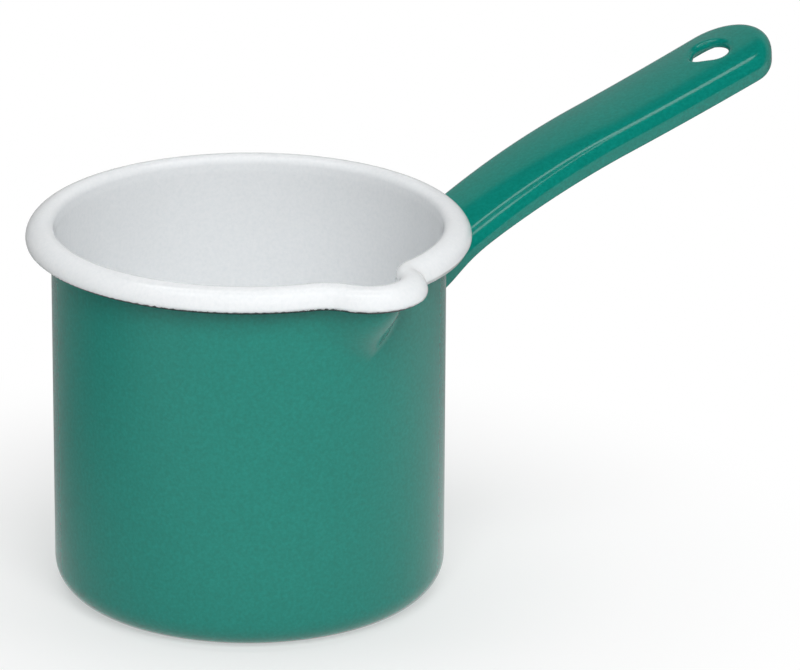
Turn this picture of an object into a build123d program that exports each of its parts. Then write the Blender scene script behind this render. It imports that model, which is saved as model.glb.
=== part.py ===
"""Enamelled steel milk pan: a drawn vessel with a curled bead and a pressed pouring lip,
and a pressed channel handle with a rolled hanging eye, welded to the wall.

Millimetres, +Z up. The origin is the centre of the foot on the vessel's axis.
The handle points along +X and the lip along -Y.
"""

import os
from math import acos, asin, atan2, cos, degrees, radians, sin, sqrt

from build123d import *

os.makedirs("parts", exist_ok=True)

# Vessel
inner_diameter = 120.0
overall_height = 120.0
vessel_sheet = 0.6
coat = 0.25
foot_corner_radius = 10.0
dish_radius = 40.0
dish_slope_width = 6.0
dish_rise = 0.8

# Rim bead
bead_radius = 4.2
curl_turn = 310.0
bare_band = 0.6

# Pouring lip, measured on the bead's centre line
lip_reach = 11.5
lip_nose_radius = 13.1
lip_notch_radius = 4.8
lip_depth = 30.0
lip_sector_share = 1.2
lip_level_shares = (0.0, 0.2, 0.4, 0.6, 0.8, 1.0)
lip_foot_shares = (0.25, 0.45)

# Handle
handle_sheet = 1.2
handle_root_height = 94.6
handle_root_angle = 29.8
handle_droop_radius = 298.0
handle_droop_angle = 16.7
handle_rise_radius = 1790.0
handle_tip_reach = 210.2
handle_root_width = 29.0
handle_tip_width = 32.8
handle_skirt_depth = 10.0
handle_crown_radius = 55.0
handle_shoulder_radius = 5.4

# Hanging eye
eye_setback = 19.2
eye_round_radius = 4.6
eye_point_radius = 1.8
eye_spacing = 6.6
eye_edge_radius = 2.4
eye_depth = 3.6

# Weld between the handle and the wall
weld_radius = 2.5

# How far a cutting form runs past what it cuts
overrun = 12.0

# A face counts as upright while its normal rises by less than this
upright_share = 0.1

wall = vessel_sheet + 2 * coat
outer_radius = inner_diameter / 2 + wall
foot_radius = outer_radius - foot_corner_radius
bead_path_radius = inner_diameter / 2 + bead_radius
bead_height = overall_height - bead_radius
bead_underside = overall_height - 2 * bead_radius
colour_top = bead_height - sqrt(bead_radius**2 - (bead_radius - wall) ** 2) - bare_band
handle_wall = handle_sheet + 2 * coat
tip_half_width = handle_tip_width / 2
root_half_width = handle_root_width / 2
tip_centre = handle_tip_reach - tip_half_width
through = 2 * handle_skirt_depth


def lip_angles(reach):
    """Nose centre radius, angle off the lip's axis of the notch, and half turn of the nose."""
    nose_centre = bead_path_radius + reach - lip_nose_radius
    notch_centre = bead_path_radius + lip_notch_radius
    between = lip_nose_radius + lip_notch_radius
    cosine = (notch_centre**2 + nose_centre**2 - between**2) / (2 * notch_centre * nose_centre)
    off_axis = acos(cosine)
    nose_half = atan2(notch_centre * sin(off_axis), notch_centre * cosine - nose_centre)
    return nose_centre, degrees(off_axis), degrees(nose_half)


lip_sector = lip_angles(lip_reach)[1] * lip_sector_share


def draw_lip_side(reach, inset, rim_end):
    """Half the lip's outline, from the tip of its nose to an angle on the round rim."""
    nose_centre, off_axis, nose_half = lip_angles(reach)
    tip = (0, inset - nose_centre - lip_nose_radius)
    nose = JernArc(tip, (1, 0), lip_nose_radius - inset, nose_half)
    notch = JernArc(nose @ 1, nose % 1, lip_notch_radius + inset, off_axis - nose_half)
    return JernArc(notch @ 1, notch % 1, bead_path_radius - inset, rim_end - off_axis)


def draw_round_side(inset):
    """The same half outline at the foot of the lip, where it's still on the round wall."""
    start = (0, inset - bead_path_radius)
    heading = (1, 0)
    turns = [lip_foot_shares[0], lip_foot_shares[1], 1 - sum(lip_foot_shares)]
    for turn in turns:
        arc = JernArc(start, heading, bead_path_radius - inset, turn * lip_sector)
        start, heading = arc @ 1, arc % 1
    return arc


def lip_form(depth):
    """The sector of the vessel that holds the lip, filled, at a depth under its outer face."""
    inset = bead_path_radius - outer_radius + depth
    foot = overall_height - lip_depth
    with BuildPart() as form:
        for share in lip_level_shares:
            height = foot + share * (bead_underside - foot)
            reach = lip_reach * share * share * (3 - 2 * share)
            with BuildSketch(Plane.XY.offset(height)):
                with BuildLine():
                    if share == 0:
                        side = draw_round_side(inset)
                    else:
                        side = draw_lip_side(reach, inset, lip_sector)
                    Line(side @ 1, (0, 0))
                    mirror(about=Plane.YZ)
                make_face()
        loft()
        extrude(form.faces().sort_by(Axis.Z)[-1], amount=bead_height - bead_underside)
    return form.part


def vessel_form(depth):
    """The vessel filled solid up to the bead's centre, at a depth under its outer face."""
    lip = lip_form(depth)
    with BuildPart() as form:
        with BuildSketch(Plane.XZ):
            with BuildLine():
                dish = Polyline(
                    (0, bead_height),
                    (0, dish_rise + depth),
                    (dish_radius, dish_rise + depth),
                    (dish_radius + dish_slope_width, depth),
                    (foot_radius, depth),
                )
                corner = JernArc(dish @ 1, (1, 0), foot_corner_radius - depth, 90)
                Polyline(corner @ 1, (outer_radius - depth, bead_height), (0, bead_height))
            make_face()
        revolve(axis=Axis.Z)
        with BuildSketch(Plane.XY.offset(overall_height - lip_depth)):
            with BuildLine():
                side = Line((0, 0), (2 * outer_radius * sin(radians(lip_sector)),
                                     -2 * outer_radius * cos(radians(lip_sector))))
                Line(side @ 1, (0, (side @ 1).Y))
                mirror(about=Plane.YZ)
            make_face()
        extrude(amount=lip_depth, mode=Mode.SUBTRACT)
        add(lip)
    return form.part


def rim_path():
    """The bead's centre line: the round rim with the lip drawn out of it."""
    nose_centre, off_axis, nose_half = lip_angles(lip_reach)
    with BuildLine(Plane.XY.offset(bead_height)) as path:
        rim = draw_lip_side(lip_reach, 0, 360 - off_axis)
        notch = JernArc(rim @ 1, rim % 1, lip_notch_radius, off_axis - nose_half)
        JernArc(notch @ 1, notch % 1, lip_nose_radius, nose_half)
    return path.wires()[0]


bead_plane = Plane(
    origin=(0, -(bead_path_radius + lip_reach), bead_height),
    x_dir=(0, -1, 0),
    z_dir=(-1, 0, 0),
)

outer_form = vessel_form(0)
steel_outer_form = vessel_form(coat)
steel_inner_form = vessel_form(coat + vessel_sheet)
inner_form = vessel_form(wall)

# Drawn steel vessel: its wall, and the curl that makes the bead
with BuildPart() as vessel:
    add(steel_outer_form)
    add(steel_inner_form, mode=Mode.SUBTRACT)
    with BuildSketch(bead_plane) as curl:
        with BuildLine():
            outside = CenterArc((0, 0), bead_radius - coat, 180, -curl_turn)
            inside = CenterArc((0, 0), bead_radius - coat - vessel_sheet, 180, -curl_turn)
            Line(outside @ 0, inside @ 0)
            Line(outside @ 1, inside @ 1)
        make_face()
    sweep(path=rim_path())
vessel.part.label = "vessel"

# White enamel on the inside and over the bead, ending on the wall under the curl
with BuildPart() as inside_enamel:
    add(steel_inner_form)
    add(inner_form, mode=Mode.SUBTRACT)
    with BuildSketch(bead_plane):
        Circle(bead_radius)
        Circle(bead_radius - coat, mode=Mode.SUBTRACT)
        with Locations((coat + vessel_sheet - bead_radius, 0)):
            Rectangle(bead_radius, bead_radius, align=(Align.MAX, Align.MAX), mode=Mode.SUBTRACT)
    sweep(path=rim_path())
inside_enamel.part.label = "inside_enamel"

# Green enamel on the outside of the vessel, from the foot up to the bead
with BuildPart() as outer_coat:
    add(outer_form)
    add(steel_outer_form, mode=Mode.SUBTRACT)
    split(bisect_by=Plane.XY.offset(colour_top), keep=Keep.BOTTOM)


def handle_knee():
    """Reach, height and heading where the drooping arc meets the rising one."""
    start = radians(handle_root_angle)
    end = radians(handle_root_angle - handle_droop_angle)
    reach = outer_radius + handle_droop_radius * (sin(start) - sin(end))
    height = handle_root_height + handle_droop_radius * (cos(end) - cos(start))
    return reach, height, end


def crown_point(reach):
    """Height and heading of the handle's crown line over its rising stretch."""
    knee_reach, knee_height, knee_heading = handle_knee()
    heading = asin(sin(knee_heading) + (reach - knee_reach) / handle_rise_radius)
    height = knee_height + handle_rise_radius * (cos(knee_heading) - cos(heading))
    return height, heading


def handle_bar(depth, skirt):
    """A bar along the crown line with the crown's section, from a depth down to the skirt."""
    rise_angle = degrees(crown_point(handle_tip_reach + overrun)[1] - handle_knee()[2])
    heading = (cos(radians(handle_root_angle)), 0, sin(radians(handle_root_angle)))
    lead_start = (outer_radius - overrun * heading[0], handle_root_height - overrun * heading[2])
    with BuildLine(Plane.XZ) as crown:
        lead = Line(lead_start, (outer_radius, handle_root_height))
        droop = JernArc(lead @ 1, lead % 1, handle_droop_radius, -handle_droop_angle)
        JernArc(droop @ 1, droop % 1, handle_rise_radius, rise_angle)
    half = tip_half_width + handle_wall
    edge = handle_crown_radius - sqrt(handle_crown_radius**2 - half**2)
    with BuildPart() as bar:
        with BuildSketch(Plane(crown.line @ 0, x_dir=(0, 1, 0), z_dir=heading)):
            with BuildLine():
                top = ThreePointArc((-half, -edge - depth), (0, -depth), (half, -edge - depth))
                Polyline(top @ 1, (half, -skirt), (-half, -skirt), top @ 0)
            make_face()
        sweep(path=crown.wires()[0])
    return bar.part


def handle_outline(depth):
    """The handle seen from above: two sides that open towards a round tip."""
    lean = asin((tip_half_width - root_half_width) / (tip_centre - outer_radius))
    along = (cos(lean), sin(lean))
    root = root_half_width - depth
    tip = tip_half_width - depth
    start = (
        outer_radius - root * along[1] - overrun * along[0],
        root * along[0] - overrun * along[1],
    )
    with BuildSketch() as outline:
        with BuildLine():
            side = Line(start, (tip_centre - tip * along[1], tip * along[0]))
            JernArc(side @ 1, along, tip, -90 - degrees(lean))
            Line(start, (start[0], 0))
            mirror(about=Plane.XZ)
        make_face()
    return outline.sketch


def eye_outline(growth):
    """The eye: round towards the tip and narrowing towards the vessel."""
    with BuildSketch() as outline:
        Circle(eye_round_radius + growth)
        with Locations((-eye_spacing, 0)):
            Circle(eye_point_radius + growth)
        make_hull()
    return outline.sketch


eye_reach = handle_tip_reach - eye_setback
eye_height, eye_heading = crown_point(eye_reach)
eye_plane = Plane(
    origin=(eye_reach, 0, eye_height),
    x_dir=(cos(eye_heading), 0, sin(eye_heading)),
    z_dir=(-sin(eye_heading), 0, cos(eye_heading)),
)


def handle_form(depth, skirt, eye_end):
    """The handle filled down to its skirt, at a depth under its face, round the eye's hole."""
    bar = handle_bar(depth, skirt)
    outline = handle_outline(depth)
    eye = eye_plane.offset(-eye_end) * eye_outline(depth)
    with BuildPart() as form:
        add(bar)
        extrude(outline, amount=2 * overall_height, mode=Mode.INTERSECT)
        crown = form.faces().filter_by(lambda face: face.normal_at().Z > upright_share)
        sides = form.faces().filter_by(lambda face: abs(face.normal_at().Z) < upright_share)
        shoulder = crown.edges() & sides.edges()
        fillet(shoulder, handle_shoulder_radius - depth)
        extrude(eye, amount=2 * eye_end, mode=Mode.SUBTRACT)
        pierced = form.faces().filter_by(lambda face: face.inner_wires()).sort_by(Axis.Z)[-1]
        mouth = pierced.inner_wires()[0].edges()
        fillet(mouth, eye_edge_radius - depth)
    return form.part


def weld_form():
    """The corner over the crown and down both sides of the handle's root, filled round."""
    filled_handle = handle_form(0, handle_skirt_depth, through)
    above_skirt = handle_bar(-2 * weld_radius, handle_skirt_depth)
    with BuildPart() as form:
        with Locations((0, 0, handle_root_height)):
            Cylinder(outer_radius, 2 * handle_root_height, rotation=(0, 0, 180))
        add(filled_handle)
        with Locations((outer_radius, 0, handle_root_height)):
            Box(5 * overrun, 5 * overrun, 5 * overrun, mode=Mode.INTERSECT)
        sharp_corner = form.part
        wall_face = form.faces().filter_by(GeomType.CYLINDER).sort_by(SortBy.AREA)[-1]
        fillet(wall_face.inner_wires()[0].edges(), weld_radius)
        add(sharp_corner, mode=Mode.SUBTRACT)
        add(above_skirt, mode=Mode.INTERSECT)
    return form.part


handle_outer = handle_form(0, handle_skirt_depth, through)
steel_handle_outer = handle_form(coat, handle_skirt_depth - coat, through)
steel_handle_hollow = handle_form(coat + handle_sheet, through, eye_depth - coat)
handle_hollow = handle_form(handle_wall, through, eye_depth)
weld = weld_form()

# Pressed steel handle: a channel, open below, with the hanging eye rolled into its crown
with BuildPart() as handle:
    add(steel_handle_outer)
    add(steel_handle_hollow, mode=Mode.SUBTRACT)
    Cylinder(outer_radius - coat, 3 * overall_height, mode=Mode.SUBTRACT)
handle.part.label = "handle"

# Green enamel all over the handle
with BuildPart() as handle_enamel:
    add(handle_outer)
    add(handle_hollow, mode=Mode.SUBTRACT)
    Cylinder(outer_radius, 3 * overall_height, mode=Mode.SUBTRACT)
    add(handle, mode=Mode.SUBTRACT)
handle_enamel.part.label = "handle_enamel"

# Coated weld between the handle's root and the wall
with BuildPart() as handle_weld:
    add(weld)
handle_weld.part.label = "handle_weld"

# Dark ground coat under the base, inside the foot
with BuildPart() as base_enamel:
    add(outer_coat)
    Cylinder(foot_radius, 2 * foot_corner_radius, mode=Mode.INTERSECT)
base_enamel.part.label = "base_enamel"

# Green enamel on the wall, broken by the handle's root
with BuildPart() as outside_enamel:
    add(outer_coat)
    Cylinder(foot_radius, 2 * foot_corner_radius, mode=Mode.SUBTRACT)
    add(handle, mode=Mode.SUBTRACT)
outside_enamel.part.label = "outside_enamel"

pieces = [vessel, inside_enamel, outside_enamel, base_enamel, handle, handle_weld, handle_enamel]
for piece in pieces:
    export_step(piece.part, f"parts/{piece.part.label}.step")
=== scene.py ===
from math import cos, pi, radians, sin

import bmesh
import bpy
import numpy as np
from mathutils import Matrix, Vector


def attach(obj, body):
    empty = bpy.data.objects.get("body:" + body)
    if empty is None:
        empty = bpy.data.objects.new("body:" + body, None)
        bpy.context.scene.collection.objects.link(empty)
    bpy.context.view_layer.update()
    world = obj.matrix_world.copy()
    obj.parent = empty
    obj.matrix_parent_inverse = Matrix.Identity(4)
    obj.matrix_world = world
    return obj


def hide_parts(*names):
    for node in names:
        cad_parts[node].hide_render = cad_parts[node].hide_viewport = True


# Enamelled milk pan: a deep vessel with a rolled rim and a pouring lip, and a channel handle
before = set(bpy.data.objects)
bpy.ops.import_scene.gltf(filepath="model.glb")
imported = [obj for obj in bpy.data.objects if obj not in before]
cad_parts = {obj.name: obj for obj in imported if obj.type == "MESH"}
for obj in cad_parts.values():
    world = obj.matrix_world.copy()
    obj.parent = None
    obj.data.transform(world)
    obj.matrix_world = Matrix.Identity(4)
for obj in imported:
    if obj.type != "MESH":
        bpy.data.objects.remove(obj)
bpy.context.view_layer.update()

# The pan's sizes are in millimetres; meshes, floor, camera and lamps are in metres
MM = 0.001

# Vessel, from its foot at height 0
inner_radius = 60.0
height = 120.0
wall = 1.1
coat = 0.25
foot_corner_radius = 10.0
dish_radius = 38.0
dish_slope_width = 12.0
dish_rise = 0.8
outer_radius = inner_radius + wall
foot_radius = outer_radius - foot_corner_radius

# Room left at the ends of the wall, where it runs into a corner or the bead
inside_foot_gap = 2.0
inside_top_gap = 1.5
outside_top_gap = 0.4
steel_top_gap = 6.0

# Rim bead: a leaning ellipse swept round the rim
bead_radius = 4.2
bead_long = 4.74
bead_short = 3.54
bead_lean = radians(36)
bead_inset = -0.4
bead_height = 115.94
bead_wall_turn = radians(-114.9)
path_radius = inner_radius + bead_radius

# Pouring lip, measured on the bead's path
lip_reach = 11.5
lip_nose_radius = 13.0
lip_left_notch_radius = 16.0
lip_right_notch_radius = 8.0
lip_turn = radians(2.7)
lip_foot_height = 90.0
lip_top_height = 111.6

# Handle: a channel along a crown line that droops, then rises
root_height = 93.5
root_heading = radians(29.8)
droop_radius = 298.0
droop_turn = radians(16.7)
rise_radius = 1790.0
tip_reach = 211.9
root_half = 14.5
tip_half = 16.4
crown_radius = 55.0
shoulder_radius = 5.4
channel_wall = 1.7
least_wall = 0.05

# The handle's skirt is shallower near the root, flares at the wall and lifts at the tip
skirt_depth = 9.8
skirt_root_depth = 6.9
skirt_fade = 81.0
skirt_flare = 3.0
skirt_flare_length = 11.0
skirt_tip_lift = 1.2

# Hanging eye in the handle
eye_reach = 190.8
eye_round = 5.7
eye_point = 2.4
eye_spacing = 5.2
eye_edge = 1.8
eye_depth = 2.9

# Weld round the handle's root
weld_radius = 2.5
weld_squeeze = 0.98
weld_bury = 0.3

# Where the coats end under the bead: ragged on the left of the lip, even on its right
white_end_turn = radians(8)
white_end_drop = radians(22)
white_end_waves = radians(5)
white_wave_size = 2.0
white_wave_seed = 11
green_end_turn = radians(-55)
green_end_waves = radians(3)
green_wave_size = 3.0
green_wave_seed = 12
noise_bands = 3
waves_per_band = 6
even_start = radians(4)
even_full = radians(12)
even_fade = radians(40)
even_share = 0.8

# How finely the meshes are drawn
merge_distance = 0.002
column_count = 960
dish_rings = 6
slope_shares = np.linspace(0, 1, 9)
corner_turns = 13
plain_wall_rows = 8
lip_wall_rows = 34
inside_lip_rows = 36
white_bead_rows = 46
green_bead_rows = 14
steel_bead_rows = 40
roll_steps = 10
mouth_steps = 8
skirt_edge_turns = 9
skirt_wall_shares = (0.33, 0.67)
eye_turns = 400
eye_point_turns = 200
eye_flank_steps = 58
eye_rings = 15
roof_steps = 24

# The search for the place where a line along the handle meets the wall
halvings = 40
search_inwards = 30.0
search_outwards = 10.0


def smooth(share):
    """Runs from 0 to 1 with level ends."""
    share = np.clip(share, 0, 1)
    return share * share * (3 - 2 * share)


# Meshes

def make_object(name, points, faces, material):
    """A closed smooth mesh from points in millimetres."""
    mesh = bpy.data.meshes.new(name)
    mesh.from_pydata([tuple(p) for p in np.asarray(points) * MM], [], faces)
    work = bmesh.new()
    work.from_mesh(mesh)
    bmesh.ops.remove_doubles(work, verts=work.verts, dist=merge_distance * MM)
    bmesh.ops.recalc_face_normals(work, faces=work.faces)
    work.to_mesh(mesh)
    work.free()
    for polygon in mesh.polygons:
        polygon.use_smooth = True
    thing = bpy.data.objects.new(name, mesh)
    bpy.context.scene.collection.objects.link(thing)
    mesh.materials.append(material)
    return thing


def grid_faces(rows, columns, wrap_rows=False, wrap_columns=False, start=0):
    """Quads over a grid of points kept row by row."""
    faces = []
    for i in range(rows if wrap_rows else rows - 1):
        for j in range(columns if wrap_columns else columns - 1):
            k = (j + 1) % columns
            m = (i + 1) % rows
            faces.append((start + i * columns + j, start + i * columns + k,
                          start + m * columns + k, start + m * columns + j))
    return faces


class Patches:
    """Collects grids of points that share their edges, for one mesh."""

    def __init__(self):
        self.points = []
        self.faces = []
        self.count = 0

    def add(self, grid, wrap_rows=False, wrap_columns=False):
        rows, columns = grid.shape[:2]
        self.faces += grid_faces(rows, columns, wrap_rows, wrap_columns, self.count)
        self.points.append(grid.reshape(-1, 3))
        self.count += rows * columns

    def make(self, name, material):
        return make_object(name, np.concatenate(self.points), self.faces, material)


# Vessel

def turned(x, y):
    """A plan point turned about the vessel's axis, from the lip's own axis to the pan's."""
    return x * cos(lip_turn) + y * sin(lip_turn), y * cos(lip_turn) - x * sin(lip_turn)


def lip_outline(angle, reach, inset):
    """Plan point and outward normal of the rim's outline, by angle from the lip's axis.

    A nose arc on that axis meets a notch arc on each side, which meets the round rim.
    """
    angle = (angle + lip_turn + pi) % (2 * pi) - pi
    side = np.abs(angle)
    lip_notch_radius = np.where(angle < 0, lip_left_notch_radius, lip_right_notch_radius)
    nose_centre = path_radius + reach - lip_nose_radius
    notch_centre = path_radius + lip_notch_radius
    between = lip_nose_radius + lip_notch_radius
    cosine = (notch_centre**2 + nose_centre**2 - between**2) / (2 * notch_centre * nose_centre)
    off_axis = np.arccos(np.clip(cosine, -1, 1))
    nose_half = np.arctan2(notch_centre * np.sin(off_axis),
                           notch_centre * np.cos(off_axis) - nose_centre)
    nose = lip_nose_radius - inset
    notch = lip_notch_radius + inset
    tangent = np.arctan2(nose * np.sin(nose_half), nose_centre + nose * np.cos(nose_half))
    on_nose = side < tangent
    on_notch = (side >= tangent) & (side < off_axis)
    nose_r = nose_centre * np.cos(side) + np.sqrt(
        np.maximum(nose**2 - (nose_centre * np.sin(side)) ** 2, 0))
    turn = side - off_axis
    notch_r = notch_centre * np.cos(turn) - np.sqrt(
        np.maximum(notch**2 - (notch_centre * np.sin(turn)) ** 2, 0))
    r = np.where(on_nose, nose_r, np.where(on_notch, notch_r, path_radius - inset))
    u, v = r * np.sin(side), r * np.cos(side)
    nu = np.where(on_nose, u / nose, np.where(
        on_notch, (notch_centre * np.sin(off_axis) - u) / notch, np.sin(side)))
    nv = np.where(on_nose, (v - nose_centre) / nose, np.where(
        on_notch, (notch_centre * np.cos(off_axis) - v) / notch, np.cos(side)))
    sign = np.sign(angle)
    x, y = turned(sign * u, -v)
    nx, ny = turned(sign * nu, -nv)
    return x, y, nx, ny


angles = np.linspace(-pi, pi, column_count, endpoint=False)


def reach_at(z):
    """How far the lip reaches at a height."""
    return lip_reach * smooth((z - lip_foot_height) / (lip_top_height - lip_foot_height))


def round_row(radius, z):
    """One level circle of points."""
    return np.stack([radius * np.sin(angles), -radius * np.cos(angles),
                     np.full_like(angles, z)], axis=-1)


def wall_row(inset, z):
    """One level outline of points on the wall, lip included."""
    x, y, _, _ = lip_outline(angles, reach_at(z), inset)
    return np.stack([x, y, np.full_like(angles, z)], axis=-1)


def bead_row(turn, depth):
    """Points along the rim at a turn of the bead's ellipse, at a depth under its face."""
    x, y, nx, ny = lip_outline(angles, lip_reach, bead_inset)
    long, short = bead_long - depth, bead_short - depth
    out = long * np.cos(turn) * cos(bead_lean) + short * np.sin(turn) * sin(bead_lean)
    up = -long * np.cos(turn) * sin(bead_lean) + short * np.sin(turn) * cos(bead_lean)
    z = np.full_like(x, bead_height) + up
    return np.stack([x + nx * out, y + ny * out, z], axis=-1)


bead_inner_turn = pi + np.arctan2(bead_short * sin(bead_lean), bead_long * cos(bead_lean))


def dish_row(share, depth):
    """A ring on the slope of the base's dish, at a depth over the outer face."""
    return round_row(dish_radius + dish_slope_width * share,
                     depth + dish_rise * (1 - smooth(share)))


def floor_rows(depth, radius, corner):
    """The floor from the axis out, and the round corner up to the wall."""
    rows = [round_row(r, dish_rise + depth) for r in np.linspace(0.0, dish_radius, dish_rings)]
    rows += [dish_row(share, depth) for share in slope_shares[1:]]
    centre = radius - corner
    rows += [round_row(centre + corner * np.sin(t), depth + corner * (1 - np.cos(t)))
             for t in np.linspace(0, pi / 2, corner_turns)]
    return rows


def foot_corner_rows(depth):
    """The outside's round corner, from the wall down to the foot, at a depth under its face."""
    corner = foot_corner_radius - depth
    return [round_row(foot_radius + corner * np.sin(t), depth + corner * (1 - np.cos(t)))
            for t in np.linspace(pi / 2, 0, corner_turns)]


def wall_rows(inset, low, high):
    """The wall's rows from a low height up to a high one, closer where the lip is."""
    plain = np.linspace(low, lip_foot_height, plain_wall_rows)
    lip = np.linspace(lip_foot_height, high, lip_wall_rows)
    return [wall_row(inset, z) for z in np.concatenate([plain, lip[1:]])]


def inside_wall_rows(depth):
    """The inside wall, from its corner up into the bead's inner side."""
    inset = bead_radius - depth
    top = bead_row(bead_inner_turn, depth)[0, 2] - inside_top_gap
    plain = np.linspace(foot_corner_radius + inside_foot_gap, lip_foot_height, plain_wall_rows)
    lip = np.linspace(lip_foot_height, top, inside_lip_rows)
    return [wall_row(inset, z) for z in np.concatenate([plain, lip[1:]])]


def rim_noise(size, seed):
    """Noise between -1 and 1 round the rim, with waves of about a size in millimetres."""
    random = np.random.default_rng(seed)
    lap = 2 * pi * path_radius
    total = np.zeros_like(angles)
    for band in range(1, noise_bands + 1):
        count = int(lap / size * band)
        for _ in range(waves_per_band):
            pitch = count + random.integers(-count // 3, count // 3 + 1)
            total += np.sin(pitch * angles + random.uniform(0, 2 * pi)) / band
    return total / np.abs(total).max()


even = smooth((angles - even_start) / even_full) * smooth((pi - angles) / even_fade)
white_end = white_end_turn - white_end_drop * even
white_waves = rim_noise(white_wave_size, white_wave_seed)
white_end = white_end + white_end_waves * (1 - even_share * even) * white_waves
green_end = green_end_turn + green_end_waves * rim_noise(green_wave_size, green_wave_seed)


def make_white_coat(material):
    """White enamel: the inside of the vessel, over the bead and under it."""
    rows = floor_rows(wall, inner_radius, foot_corner_radius - wall)
    rows += inside_wall_rows(0)
    # The bead's last rows give way to the ragged end
    turns = np.linspace(bead_inner_turn, white_end_turn, white_bead_rows)
    rows += [bead_row(t, 0) for t in turns[:-3]]
    rows += [bead_row(white_end, 0), bead_row(white_end, coat)]
    rows += [bead_row(t, coat) for t in turns[-4::-2]]
    rows += inside_wall_rows(coat)[::-1]
    rows += floor_rows(wall - coat, inner_radius + coat, foot_corner_radius - wall + coat)[::-1]
    patches = Patches()
    patches.add(np.stack(rows), wrap_columns=True)
    return patches.make("white_coat", material)


def make_green_coat(material):
    """Green enamel: the outside, from under the bead down to the foot."""
    inset = bead_radius - wall
    turns = np.linspace(green_end_turn, bead_wall_turn, green_bead_rows)
    rows = [bead_row(green_end, coat), bead_row(green_end, 0)]
    rows += [bead_row(t, 0) for t in turns[2:]]
    top = rows[-1][0, 2]
    rows += wall_rows(inset, foot_corner_radius, top - outside_top_gap)[::-1]
    rows += foot_corner_rows(0)[1:]
    rows += foot_corner_rows(coat)[::-1]
    rows += wall_rows(inset + coat, foot_corner_radius, top - outside_top_gap)
    rows += [bead_row(t, coat) for t in turns[:1:-1]]
    patches = Patches()
    patches.add(np.stack(rows), wrap_rows=True, wrap_columns=True)
    return patches.make("green_coat", material)


def make_steel(material):
    """The drawn steel under the coats, seen only in the fine gap under the bead."""
    turns = np.linspace(bead_inner_turn, bead_wall_turn, steel_bead_rows)
    rows = floor_rows(wall - coat, inner_radius + coat, foot_corner_radius - wall + coat)
    rows += inside_wall_rows(coat)
    rows += [bead_row(t, coat) for t in turns]
    inset = bead_radius - wall + coat
    rows += wall_rows(inset, foot_corner_radius, height - steel_top_gap)[::-1]
    rows += foot_corner_rows(coat)[1:]
    rows += [dish_row(share, coat) for share in slope_shares[::-1]]
    rows += [round_row(0.0, coat + dish_rise)]
    patches = Patches()
    patches.add(np.stack(rows), wrap_columns=True)
    return patches.make("drawn_steel", material)


def make_base_coat(material):
    """Dark ground coat under the base, with its shallow dish."""
    rows = [round_row(0.0, dish_rise)]
    rows += [dish_row(share, 0) for share in slope_shares]
    rows += [round_row(foot_radius, 0), round_row(foot_radius, coat)]
    rows += [dish_row(share, coat) for share in slope_shares[::-1]]
    rows += [round_row(0.0, dish_rise + coat)]
    patches = Patches()
    patches.add(np.stack(rows), wrap_columns=True)
    return patches.make("base_coat", material)


# Handle

def crown_line(reach):
    """Height and heading of the handle's crown line at a reach from the vessel's axis."""
    knee_heading = root_heading - droop_turn
    knee = outer_radius + droop_radius * (sin(root_heading) - sin(knee_heading))
    knee_height = root_height + droop_radius * (cos(knee_heading) - cos(root_heading))
    drooping = np.arcsin(np.clip(sin(root_heading) - (reach - outer_radius) / droop_radius, -1, 1))
    rising = np.arcsin(sin(knee_heading) + (reach - knee) / rise_radius)
    heading = np.where(reach < outer_radius, root_heading, np.where(reach < knee, drooping, rising))
    lead = root_height + (reach - outer_radius) * np.tan(root_heading)
    droop = root_height + droop_radius * (np.cos(heading) - cos(root_heading))
    rise = knee_height + rise_radius * (cos(knee_heading) - np.cos(heading))
    z = np.where(reach < outer_radius, lead, np.where(reach < knee, droop, rise))
    return z, heading


def bend(reach, side, depth):
    """A point of the handle: along its crown line, across it and down, upright at the tip."""
    z, heading = crown_line(reach)
    upright = smooth((reach - tip_reach + tip_half) / tip_half)
    x = reach + depth * np.sin(heading) * (1 - upright)
    return np.stack([x, side, z - depth * np.cos(heading)], axis=-1)


def bend_all(grid):
    """Bends a grid of (reach, side, depth) points."""
    return bend(grid[..., 0], grid[..., 1], grid[..., 2])


def crown_drop(side, depth):
    """Depth of the roof under the crown line, for the face or one under it."""
    return crown_radius - np.sqrt((crown_radius - depth) ** 2 - side**2)


def reach_on_wall(side, depth, radius):
    """The reach at which a line along the handle meets a round wall."""
    low = np.full_like(side + depth, radius - search_inwards)
    high = np.full_like(side + depth, radius + search_outwards)
    for _ in range(halvings):
        middle = (low + high) / 2
        p = bend(middle, side, depth)
        outside = np.hypot(p[..., 0], p[..., 1]) > radius
        high = np.where(outside, middle, high)
        low = np.where(outside, low, middle)
    return (low + high) / 2


tip_centre = tip_reach - tip_half
cut_share = 0.83
lean = np.arcsin((tip_half - root_half) / (tip_centre - outer_radius))
side_count = 120
tip_turns = 40


def handle_loop():
    """The handle's outline from root to tip and back: places and outward normals."""
    along = np.array([cos(lean), sin(lean)])
    root = np.array([outer_radius - root_half * sin(lean), root_half * cos(lean)])
    end = np.array([tip_centre - tip_half * sin(lean), tip_half * cos(lean)])
    shares = np.linspace(0, 1, side_count + 1)[:, None]
    side = root + (end - root) * shares
    side_normal = np.tile([-sin(lean), cos(lean)], (side_count + 1, 1))
    turn = np.linspace(pi / 2 + lean, -pi / 2 - lean, 2 * tip_turns + 1)
    tip_normal = np.stack([np.cos(turn), np.sin(turn)], axis=-1)
    tip = np.array([tip_centre, 0.0]) + tip_half * tip_normal
    flip = np.array([1.0, -1.0])
    places = np.concatenate([side[:-1], tip, side[-2::-1] * flip])
    normals = np.concatenate([side_normal[:-1], tip_normal, side_normal[-2::-1] * flip])
    return places, normals


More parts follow.
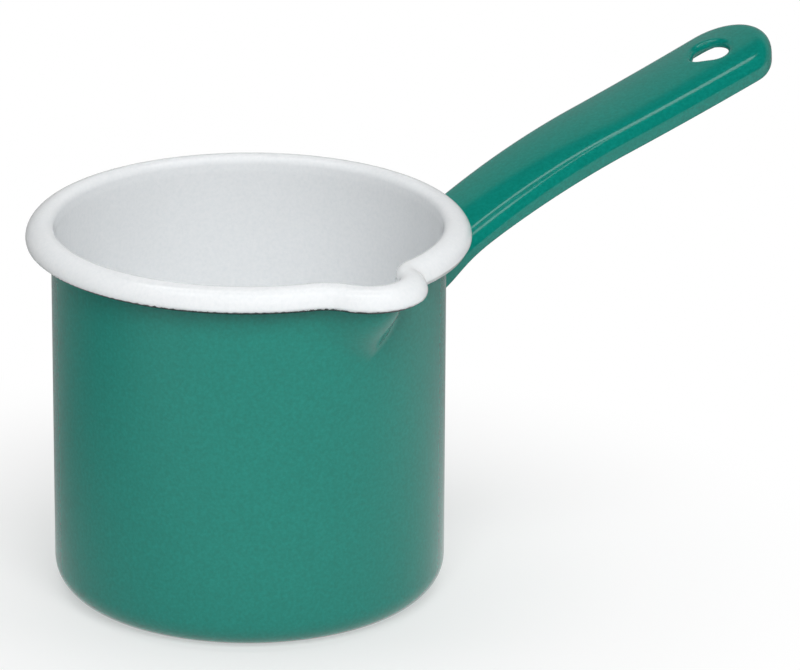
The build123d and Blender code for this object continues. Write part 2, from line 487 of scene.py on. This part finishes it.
def roll(centre, radius, wall_normal, steps):
    """Directions along a rolled edge, from the upright wall to the roof."""
    sine = centre[:, 1] / (crown_radius - radius)
    zeros = np.zeros_like(sine)
    roof = np.stack([zeros, sine, -np.sqrt(1 - sine**2)], axis=-1)
    upright = np.concatenate([wall_normal, zeros[:, None]], axis=-1)
    turn = np.arccos(np.clip((roof * upright).sum(-1), -1, 1))[:, None]
    rows = []
    for share in np.linspace(0, 1, steps):
        rows.append((np.sin((1 - share) * turn) * upright + np.sin(share * turn) * roof)
                    / np.sin(turn))
    return rows


def skirt_end(reach):
    """Depth of the skirt's edge at a reach."""
    share = np.clip(1 - (reach - outer_radius) / skirt_fade, 0, 1)
    flare = skirt_flare * np.exp(-((reach - outer_radius) / skirt_flare_length) ** 2)
    lift = skirt_tip_lift * smooth((reach - tip_reach + tip_half) / tip_half)
    return skirt_depth + (skirt_root_depth - skirt_depth) * share**2 + flare - lift


def section_rows(places, normals, edge_radius, end_depth, steps=roll_steps):
    """Rows of (reach, side, depth) from the outer roof over the edge to the inner roof."""
    centre = places - normals * edge_radius
    centre_depth = crown_drop(centre[:, 1], edge_radius)
    arcs = roll(centre, edge_radius, normals, steps)
    base = np.concatenate([centre, centre_depth[:, None]], axis=-1)
    outer = [base + edge_radius * a for a in arcs[::-1]]
    inner = [base + (edge_radius - channel_wall) * a for a in arcs]
    half = channel_wall / 2
    low = np.maximum(end_depth - half, centre_depth + least_wall)
    upright = np.concatenate([normals, np.zeros((len(normals), 1))], axis=-1)
    down = np.array([0.0, 0.0, 1.0])
    middle = np.concatenate([centre + normals * (edge_radius - half), low[:, None]], axis=-1)
    outer_wall = [outer[-1] + (middle + upright * half - outer[-1]) * share
                  for share in skirt_wall_shares]
    turns = np.linspace(0, pi, skirt_edge_turns)
    edge = [middle + half * (np.cos(t) * upright + np.sin(t) * down) for t in turns]
    inner_wall = [edge[-1] + (inner[0] - edge[-1]) * share for share in skirt_wall_shares]
    return np.stack(outer + outer_wall + edge + inner_wall + inner)


def eye_outline():
    """The eye's outline, seen from above: places and outward normals, by angle."""
    slope = np.arcsin((eye_round - eye_point) / eye_spacing)
    wide = np.linspace(-pi / 2 - slope, pi / 2 + slope, eye_turns)
    narrow = np.linspace(pi / 2 + slope, 3 * pi / 2 - slope, eye_point_turns)
    turn = np.concatenate([wide, narrow])
    normal = np.stack([np.cos(turn), np.sin(turn)], axis=-1)
    big_normal = normal[:eye_turns]
    small_normal = normal[eye_turns:]
    big = np.array([eye_reach, 0.0]) + eye_round * big_normal
    small = np.array([eye_reach - eye_spacing, 0.0]) + eye_point * small_normal
    line_share = np.linspace(0, 1, eye_flank_steps + 2)[1:-1, None]
    up = big[-1] + (small[0] - big[-1]) * line_share
    down = small[-1] + (big[0] - small[-1]) * line_share
    up_normal = np.tile(big_normal[-1], (eye_flank_steps, 1))
    down_normal = np.tile(small_normal[-1], (eye_flank_steps, 1))
    places = np.concatenate([big, up, small, down])
    normals = np.concatenate([big_normal, up_normal, small_normal, down_normal])
    return places, normals


def eye_columns(outer_loop):
    """The eye's outline taken at the angles of the loop round it."""
    places, normals = eye_outline()
    centre = np.array([eye_reach - eye_spacing / 3, 0.0])
    own = np.unwrap(np.arctan2(*(places - centre).T[::-1]))
    asked = np.arctan2(outer_loop[:, 1], outer_loop[:, 0] - centre[0])
    asked = own[0] + np.mod(asked - own[0], 2 * pi)
    order = np.append(own, own[0] + 2 * pi)
    place, normal = [np.stack([np.interp(asked, order, np.append(values, values[0]))
                               for values in columns.T], axis=-1)
                     for columns in (places, normals)]
    return place, normal / np.hypot(*normal.T)[:, None]


def make_handle_coat(material):
    """The whole channel with its coat: skirt, rolled shoulders, roof and hanging eye."""
    places, normals = handle_loop()
    # Skirt and shoulders, all round the tip, end at the vessel's wall
    rows = section_rows(places, normals, shoulder_radius, skirt_end(places[:, 0]))
    for column in (0, -1):
        line = rows[:, column]
        line[:, 0] = reach_on_wall(line[:, 1], line[:, 2], outer_radius - coat)
    count = len(places)
    cut = int(side_count * cut_share)
    patches = Patches()
    patches.add(bend_all(rows))
    # Roof from the root to the cut before the eye, outer face and then inner face
    shares = np.linspace(0, 1, roof_steps + 1)[None, :, None]
    roofs = []
    for row, depth in ((rows[0], 0), (rows[-1], channel_wall)):
        left, right = row[:cut + 1, None, :], row[::-1][:cut + 1, None, :]
        roof = left + (right - left) * shares
        roof[..., 2] = crown_drop(roof[..., 1], depth)
        roof[0, :, 0] = reach_on_wall(roof[0, :, 1], roof[0, :, 2], outer_radius - coat)
        patches.add(bend_all(roof))
        roofs.append(roof)
    # The sheet's cut face at the wall: roof, then the two sides
    patches.add(bend_all(np.stack([roofs[0][0], roofs[1][0]])))
    for column in (0, -1):
        line = rows[:, column]
        pairs = np.stack([line, line[::-1]])[:, :len(line) // 2 + 1]
        patches.add(bend_all(pairs))
    # The eye's rolled edge, with as many columns as the loop of shoulders and cut round it
    loops = []
    for row, roof in ((rows[0], roofs[0]), (rows[-1], roofs[1])):
        tip_loop = row[cut:count - cut]
        cross = roof[cut][::-1][1:-1]
        loops.append(np.concatenate([tip_loop, cross]))
    place, normal = eye_columns(loops[0])
    mouth = section_rows(place, -normal, eye_edge,
                         crown_drop(place[:, 1], 0) + eye_depth, steps=mouth_steps)
    patches.add(bend_all(mouth), wrap_columns=True)
    # Rings of roof from the eye's edge out to that loop
    for loop, eye, depth in ((loops[0], mouth[0], 0), (loops[1], mouth[-1], channel_wall)):
        ring_shares = np.linspace(0, 1, eye_rings)[:, None, None]
        rings = eye[None] + (loop - eye)[None] * ring_shares
        inner_rings = rings[1:-1]
        inner_rings[..., 2] = crown_drop(inner_rings[..., 1], depth)
        patches.add(bend_all(rings), wrap_columns=True)
    return patches.make("handle_coat", material)


def make_weld(material):
    """The coated weld that fills the corner between the handle's root and the wall."""
    places, normals = handle_loop()
    # The handle's section at its root: one shoulder, the roof, the other shoulder
    side = section_rows(places[:1], normals[:1], shoulder_radius, np.array([skirt_root_depth]))
    arc = side[:roll_steps, 0][::-1]
    inner_side = arc[-1, 1]
    roof_side = np.linspace(inner_side, -inner_side, roof_steps + 1)[1:-1]
    roof = np.stack([np.zeros_like(roof_side), roof_side, crown_drop(roof_side, 0)], axis=-1)
    other = arc[::-1] * np.array([1.0, -1.0, 1.0])
    line = np.concatenate([arc, roof, other])
    centre = (places[0] - normals[0] * shoulder_radius)[1]
    centre_depth = crown_drop(centre, shoulder_radius)
    # Outward normals of that section
    out = []
    for _, y, q in line:
        if abs(y) >= inner_side:
            across = np.array([y - np.sign(y) * centre, q - centre_depth])
        else:
            across = np.array([y, q - crown_radius])
        out.append(across / np.hypot(*across))
    out = np.array(out)
    # A ball of the weld's radius rolls along the corner and touches the handle and the wall
    ball = line[:, 1:] + weld_radius * out
    reach = reach_on_wall(ball[:, 0], ball[:, 1], outer_radius + weld_radius)
    centres = bend(reach, ball[:, 0], ball[:, 1])
    on_handle = bend(reach, line[:, 1], line[:, 2])
    radial = centres * np.array([1.0, 1.0, 0.0])
    radial /= np.linalg.norm(radial, axis=1)[:, None]
    on_wall = centres - weld_radius * radial
    a, b = on_handle - centres, on_wall - centres
    a /= np.linalg.norm(a, axis=1)[:, None]
    b /= np.linalg.norm(b, axis=1)[:, None]
    turn = np.arccos((a * b).sum(-1))[:, None]
    # Arcs between the two lines of touch, closed by a line sunk in the corner
    rows = []
    for share in np.linspace(0, 1, roll_steps):
        way = (np.sin((1 - share) * turn) * a + np.sin(share * turn) * b) / np.sin(turn)
        rows.append(centres + weld_radius * way)
    corner_reach = reach_on_wall(line[:, 1], line[:, 2], outer_radius - coat)
    rows.append(bend(corner_reach, line[:, 1] * weld_squeeze, line[:, 2] + weld_bury))
    grid = np.stack(rows)
    patches = Patches()
    patches.add(grid, wrap_rows=True)
    for column in (0, -1):
        ring = grid[:, column]
        middle = np.repeat(ring.mean(0)[None], len(ring), axis=0)
        patches.add(np.stack([ring, middle]), wrap_columns=True)
    return patches.make("weld_coat", material)


# Materials

class Nodes:
    """The nodes of a material or a world, being wired up."""

    def __init__(self, owner):
        owner.use_nodes = True
        self.owner = owner
        self.tree = owner.node_tree
        self.shader = self.tree.nodes.get("Principled BSDF")

    def add(self, kind, **values):
        node = self.tree.nodes.new(kind)
        for name, value in values.items():
            setattr(node, name, value)
        return node

    def link(self, source, target):
        self.tree.links.new(source, target)

    def noise(self, scale, detail=2.0, roughness=0.5):
        """Noise in the object's own coordinates, with features of about 1/scale metres."""
        place = self.add("ShaderNodeTexCoord")
        noise = self.add("ShaderNodeTexNoise")
        noise.inputs["Scale"].default_value = scale
        noise.inputs["Detail"].default_value = detail
        noise.inputs["Roughness"].default_value = roughness
        self.link(place.outputs["Object"], noise.inputs["Vector"])
        return noise.outputs["Fac"]

    def ramp(self, source, stops):
        """Colours by a value, from (position, colour) stops."""
        ramp = self.add("ShaderNodeValToRGB")
        for k, (position, colour) in enumerate(stops):
            stop = ramp.color_ramp.elements[k] if k < 2 else ramp.color_ramp.elements.new(position)
            stop.position = position
            stop.color = (*colour, 1)
        self.link(source, ramp.inputs["Fac"])
        return ramp.outputs["Color"]

    def bump(self, source, height_mm, below=None):
        """Bump from a value between 0 and 1, with its full height in millimetres."""
        bump = self.add("ShaderNodeBump")
        bump.inputs["Strength"].default_value = 1.0
        bump.inputs["Distance"].default_value = height_mm * MM
        self.link(source, bump.inputs["Height"])
        if below is not None:
            self.link(below, bump.inputs["Normal"])
        return bump.outputs["Normal"]

    def length(self, source):
        """The length of a vector."""
        node = self.add("ShaderNodeVectorMath", operation="LENGTH")
        self.link(source, node.inputs[0])
        return node.outputs["Value"]

    def along(self, source, direction):
        """How far a vector reaches along a direction."""
        node = self.add("ShaderNodeVectorMath", operation="DOT_PRODUCT")
        node.inputs[1].default_value = direction
        self.link(source, node.inputs[0])
        return node.outputs["Value"]

    def level_between(self, source, low, high, at_low, at_high):
        """A level that runs smoothly from one to another while a value runs between two."""
        node = self.add("ShaderNodeMapRange", interpolation_type="SMOOTHSTEP")
        node.inputs["From Min"].default_value = low
        node.inputs["From Max"].default_value = high
        node.inputs["To Min"].default_value = at_low
        node.inputs["To Max"].default_value = at_high
        self.link(source, node.inputs["Value"])
        return node.outputs["Result"]

    def product(self, first, second):
        """One value times another."""
        node = self.add("ShaderNodeMath", operation="MULTIPLY")
        self.link(first, node.inputs[0])
        self.link(second, node.inputs[1])
        return node.outputs["Value"]

    def share_of(self, source, share):
        """A fixed share of a value."""
        node = self.add("ShaderNodeMath", operation="MULTIPLY")
        node.inputs[1].default_value = share
        self.link(source, node.inputs[0])
        return node.outputs["Value"]

    def mix_shaders(self, share, first, second):
        """The first shader, turned into the second by a share."""
        node = self.add("ShaderNodeMixShader")
        self.link(share, node.inputs["Fac"])
        self.link(first, node.inputs[1])
        self.link(second, node.inputs[2])
        return node.outputs["Shader"]

    def mix_colour(self, share, first, colour):
        """The first colour, turned into a fixed one by a share."""
        node = self.add("ShaderNodeMix", data_type="RGBA")
        node.inputs["B"].default_value = (*colour, 1)
        self.link(share, node.inputs["Factor"])
        self.link(first, node.inputs["A"])
        return node.outputs["Result"]


enamel_ior = 1.43
mottle_scale = 900.0
peel_scale = 220.0
grain_scale = 1600.0


def enamel(name, dark, base, light, roughness, peel, grain):
    """Glossy enamel: a mottled colour under a clear skin with a faint orange peel and grain."""
    nodes = Nodes(bpy.data.materials.new(name))
    mottle = nodes.noise(mottle_scale, detail=3.0, roughness=0.6)
    colour = nodes.ramp(mottle, [(0.3, dark), (0.7, light), (0.5, base)])
    nodes.link(colour, nodes.shader.inputs["Base Color"])
    nodes.shader.inputs["Roughness"].default_value = roughness
    nodes.shader.inputs["IOR"].default_value = enamel_ior
    waves = nodes.bump(nodes.noise(peel_scale, detail=1.0), peel)
    fine = nodes.bump(nodes.noise(grain_scale, detail=2.0), grain, below=waves)
    nodes.link(fine, nodes.shader.inputs["Normal"])
    return nodes.owner


green = enamel("green_enamel", dark=(0.002, 0.195, 0.152), base=(0.003, 0.222, 0.175),
               light=(0.005, 0.25, 0.2), roughness=0.12, peel=0.008, grain=0.0015)
white = enamel("white_enamel", dark=(0.86, 0.885, 0.90), base=(0.89, 0.91, 0.922),
               light=(0.915, 0.93, 0.94), roughness=0.10, peel=0.006, grain=0.001)
dark = enamel("ground_coat", dark=(0.012, 0.014, 0.017), base=(0.02, 0.023, 0.027),
              light=(0.035, 0.038, 0.042), roughness=0.2, peel=0.008, grain=0.003)


# Pieces of the pan

def dress(piece, slot, *nodes):
    """The piece stands for its nodes and rides on the pan's one body; its slot is not used."""
    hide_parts(*nodes)
    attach(piece, "root")


dress(make_white_coat(white), "white_enamel", "inside_enamel")
dress(make_green_coat(green), "green_enamel", "outside_enamel")
dress(make_steel(dark), "steel", "vessel")
dress(make_base_coat(dark), "ground_coat", "base_enamel")
dress(make_handle_coat(green), "green_enamel", "handle_enamel", "handle")
dress(make_weld(green), "green_enamel", "handle_weld")

# Camera

view_turn = radians(39.454)
view_drop = radians(20.608)
view_pitch = radians(20.020)
view_roll = radians(0.317)
view_distance = 2.0
view_target = Vector((0.0362, -0.0298, 0.060))
lens_mm = 288.54

level = Vector((sin(view_turn), cos(view_turn), 0))
right = Vector((cos(view_turn), -sin(view_turn), 0))
up = Vector((0, 0, 1))
toward = level * cos(view_drop) - up * sin(view_drop)
forward = level * cos(view_pitch) - up * sin(view_pitch)
above = level * sin(view_pitch) + up * cos(view_pitch)
rolled_right = right * cos(view_roll) + above * sin(view_roll)
rolled_above = above * cos(view_roll) - right * sin(view_roll)

lens = bpy.data.cameras.new("camera")
lens.lens = lens_mm
lens.sensor_width = 36.0
lens.sensor_fit = "HORIZONTAL"
lens.clip_end = 50.0
camera = bpy.data.objects.new("camera", lens)
bpy.context.scene.collection.objects.link(camera)
view_place = view_target - toward * view_distance
view_axes = (rolled_right, rolled_above, -forward, view_place)
view_rows = [[axis[row] for axis in view_axes] for row in range(3)]
camera.matrix_world = Matrix(view_rows + [[0, 0, 0, 1]])
bpy.context.scene.camera = camera

# Floor, room and lamps

# The floor is half shaded near the pan and plain white further out
floor_half = 6.0
floor_roughness = 0.9
floor_mottle_scale = 3.0
floor_stops = [(0.2, (0.95, 0.95, 0.95)), (0.8, (0.96, 0.96, 0.96))]
shaded_radius = 0.06
plain_radius = 0.20
plain_share_near = 0.5

# What the enamel mirrors of the floor is brighter in front of the pan than behind it
glow_front = -0.16
glow_back = 0.17
glow_in_front = 0.95
glow_behind = 0.34
glow_turn = 0.5

# The backdrop is white behind the pan, up to a leaning plane, and weaker in the enamel
backdrop_lean = radians(47)
backdrop_stops = [(0.0, (0.92, 0.92, 0.92)), (0.08, (0.03, 0.033, 0.036))]
backdrop_glossy_loss = 0.6


def make_floor():
    """A wide white floor, with what the camera sees of it and what the enamel mirrors."""
    nodes = Nodes(bpy.data.materials.new("floor"))
    tone = nodes.ramp(nodes.noise(floor_mottle_scale), floor_stops)
    nodes.link(tone, nodes.shader.inputs["Base Color"])
    nodes.shader.inputs["Roughness"].default_value = floor_roughness
    nodes.shader.inputs["Specular IOR Level"].default_value = 0.0
    place = nodes.add("ShaderNodeTexCoord").outputs["Object"]
    path = nodes.add("ShaderNodeLightPath")
    fade = nodes.level_between(nodes.length(place), shaded_radius, plain_radius,
                               plain_share_near, 1.0)
    plain = nodes.product(path.outputs["Is Camera Ray"], fade)
    plain_white = nodes.add("ShaderNodeEmission")
    lit = nodes.mix_shaders(plain, nodes.shader.outputs["BSDF"], plain_white.outputs["Emission"])
    behind = nodes.along(place, level - right * glow_turn)
    strength = nodes.level_between(behind, glow_front, glow_back, glow_in_front, glow_behind)
    glow = nodes.add("ShaderNodeEmission")
    nodes.link(strength, glow.inputs["Strength"])
    seen = nodes.mix_shaders(path.outputs["Is Glossy Ray"], lit, glow.outputs["Emission"])
    nodes.link(seen, nodes.tree.nodes["Material Output"].inputs["Surface"])
    mesh = bpy.data.meshes.new("floor")
    corners = [(-floor_half, -floor_half, 0), (floor_half, -floor_half, 0),
               (floor_half, floor_half, 0), (-floor_half, floor_half, 0)]
    mesh.from_pydata(corners, [], [(0, 1, 2, 3)])
    mesh.materials.append(nodes.owner)
    floor = bpy.data.objects.new("floor", mesh)
    bpy.context.scene.collection.objects.link(floor)
    return floor


def make_world():
    """A white backdrop behind the pan and a dim room in front of it and overhead."""
    world = bpy.data.worlds.new("studio")
    bpy.context.scene.world = world
    nodes = Nodes(world)
    heading = nodes.add("ShaderNodeTexCoord").outputs["Generated"]
    over_edge = nodes.along(heading, up * cos(backdrop_lean) - level * sin(backdrop_lean))
    room = nodes.ramp(over_edge, backdrop_stops)
    path = nodes.add("ShaderNodeLightPath")
    glossy = nodes.share_of(path.outputs["Is Glossy Ray"], backdrop_glossy_loss)
    dimmed = nodes.mix_colour(glossy, room, (0, 0, 0))
    shown = nodes.mix_colour(path.outputs["Is Camera Ray"], dimmed, (1, 1, 1))
    nodes.link(shown, nodes.tree.nodes["Background"].inputs["Color"])


floor = make_floor()
make_world()


def softbox(name, place, aim, width, depth, power):
    """A soft area lamp that faces a point."""
    light = bpy.data.lights.new(name, "AREA")
    light.shape = "RECTANGLE"
    light.size = width
    light.size_y = depth
    light.energy = power
    lamp = bpy.data.objects.new(name, light)
    bpy.context.scene.collection.objects.link(lamp)
    lamp.location = place
    lamp.rotation_euler = (aim - place).to_track_quat("-Z", "Y").to_euler()
    return lamp


middle = Vector((0.04, 0, 0.08))
above_pan = middle + up * 1.5 - level * 0.1
before_pan = middle - level * 2.0 + right * 0.3 + up * 1.7
overhead = softbox("overhead", above_pan, middle, width=1.4, depth=0.5, power=7.0)
overhead.visible_glossy = False
streak = softbox("streak", above_pan, middle, width=1.6, depth=1.0, power=18.0)
streak.visible_diffuse = False
front = softbox("front", before_pan, middle, width=2.0, depth=1.4, power=53.0)
front.visible_glossy = False

bpy.context.scene.view_settings.view_transform = "Standard"
